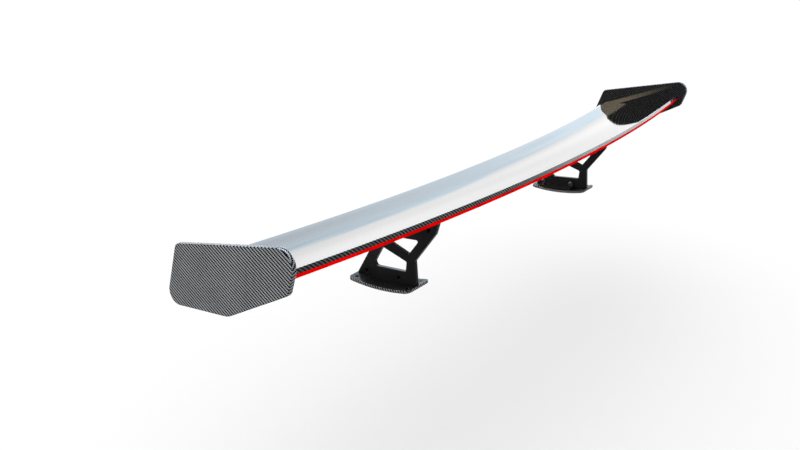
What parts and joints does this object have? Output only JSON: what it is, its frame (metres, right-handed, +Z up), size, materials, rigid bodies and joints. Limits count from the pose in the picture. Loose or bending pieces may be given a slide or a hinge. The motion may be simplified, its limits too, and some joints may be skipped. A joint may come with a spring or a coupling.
{
  "type": "racing rear wing",
  "caption": "Bowed carbon rear wing with gurney flap and end plates on windowed uprights and curved boot-lid feet, with adjustable angle of attack.",
  "frame": {"origin": "midway between the two feet and halfway along them, at the height of their lowest point", "axes": "+X to the right across the car, +Y towards the front of the car, +Z up"},
  "size_m": [1.5, 0.286, 0.2334],
  "materials": {
    "carbon_gloss": "2x2 twill carbon under clear gloss lacquer",
    "carbon_inner": "bare moulded carbon",
    "red_trim": "gloss red",
    "black_alloy": "satin black anodised aluminium",
    "bare_alloy": "machined",
    "black_steel": "black oxide",
    "zinc_steel": "zinc plated"
  },
  "bodies": {
    "stands": {"upright_left": "black_alloy", "upright_right": "black_alloy", "pivot_bolts": "black_steel", "pivot_washers": "zinc_steel", "pivot_nuts": "zinc_steel", "adjuster_bolts": "black_steel", "adjuster_washers": "zinc_steel", "adjuster_nuts": "zinc_steel", "base_plate_left": "carbon_gloss", "base_plate_right": "carbon_gloss", "foot_bracket_left": "black_alloy", "foot_bracket_right": "black_alloy", "foot_bolts": "black_steel", "foot_washers": "zinc_steel", "foot_nuts": "zinc_steel", "bracket_screws": "black_steel"},
    "wing": {"upper_skin": "carbon_gloss", "lower_skin": "carbon_gloss", "main_spar": "carbon_inner", "rear_spar": "carbon_inner", "end_rib_left": "carbon_inner", "end_rib_right": "carbon_inner", "mount_block_left": "bare_alloy", "mount_block_right": "bare_alloy", "gurney_flap": "carbon_gloss", "trim_strip": "red_trim", "endplate_left": "carbon_gloss", "endplate_right": "carbon_gloss", "wing_lug_left": "black_alloy", "wing_lug_right": "black_alloy", "lug_screws_left": "black_steel", "lug_screws_right": "black_steel"}
  },
  "joints": [
    {"name": "angle_of_attack", "type": "hinge", "parent": "stands", "child": "wing", "pos_m": [0, -0.009, 0.121], "axis": [-1, 0, 0], "range_deg": [-1, 8]}
  ]
}
